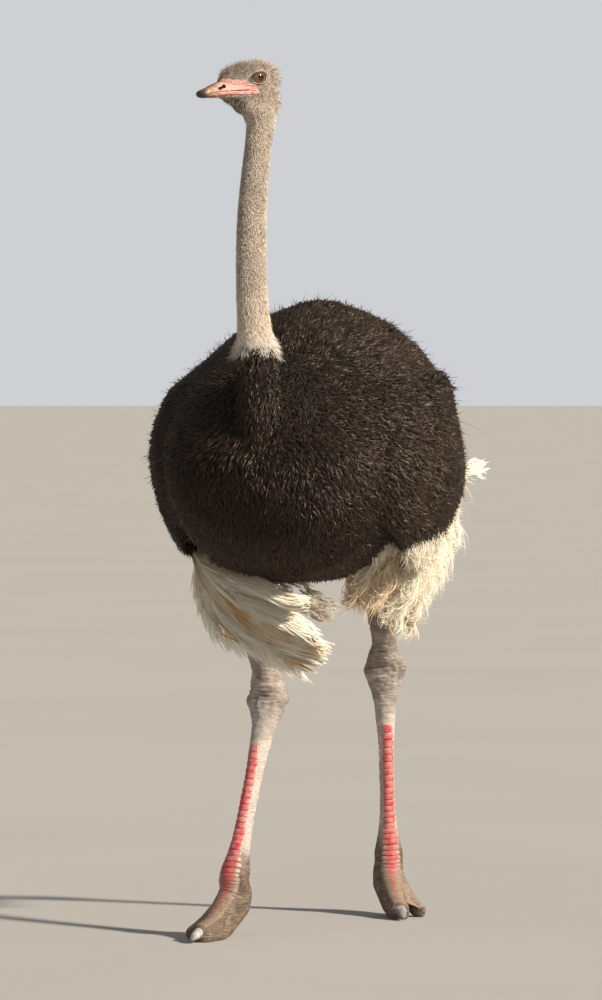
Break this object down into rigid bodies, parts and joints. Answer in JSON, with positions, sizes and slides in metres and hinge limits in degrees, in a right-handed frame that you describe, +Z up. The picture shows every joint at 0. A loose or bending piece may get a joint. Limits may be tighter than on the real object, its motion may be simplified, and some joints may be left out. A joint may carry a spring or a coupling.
{
  "type": "ostrich figure",
  "caption": "Life-size male ostrich, standing at a walk with its head turned, long bare legs, black plumage and white wing plumes.",
  "frame": {"origin": "on the ground under the middle of the bird's bounding box", "axes": "+Z up, the bird faces -Y, its left side is +X, in metres"},
  "size_m": [0.733, 1.3864, 2.0706],
  "materials": {
    "black_plumage": "short curly black-brown feathers with brown dusty tips",
    "white_plume": "loose creamy white plumes, ochre in places",
    "tail_plume": "loose brownish white plumes",
    "neck_down": "short beige grey down with dark skin showing through",
    "bare_skin": "pale grey wrinkled skin",
    "shin": "pale skin with a row of pink-red plates down the front",
    "foot": "dusty grey-brown skin with cross bands",
    "bill": "pink horn going ochre and then dark grey at the tip",
    "claw": "worn blue-grey horn",
    "eye": "wet brown eye with a dark pupil"
  },
  "bodies": {
    "root": {"trunk": "black_plumage", "wing_left": "black_plumage", "wing_right": "black_plumage", "neck_base": "black_plumage", "neck_lower": "neck_down", "neck_middle": "neck_down", "neck_upper": "neck_down", "head": "neck_down", "bill_upper": "bill", "bill_lower": "bill", "eye_left": "eye", "eye_right": "eye", "thigh_left": "bare_skin", "hock_left": "bare_skin", "shin_left": "shin", "toe_main_left": "foot", "toe_outer_left": "foot", "claw_left": "claw", "thigh_right": "bare_skin", "hock_right": "bare_skin", "shin_right": "shin", "toe_main_right": "foot", "toe_outer_right": "foot", "claw_right": "claw", "tail": "tail_plume", "plumes_left_tuft": "white_plume", "plumes_left_rear": "white_plume", "plumes_left_middle": "white_plume", "plumes_left_front": "white_plume", "plumes_right_front": "white_plume", "plumes_right_rear": "white_plume", "plumes_right_tuft": "white_plume"}
  },
  "joints": []
}
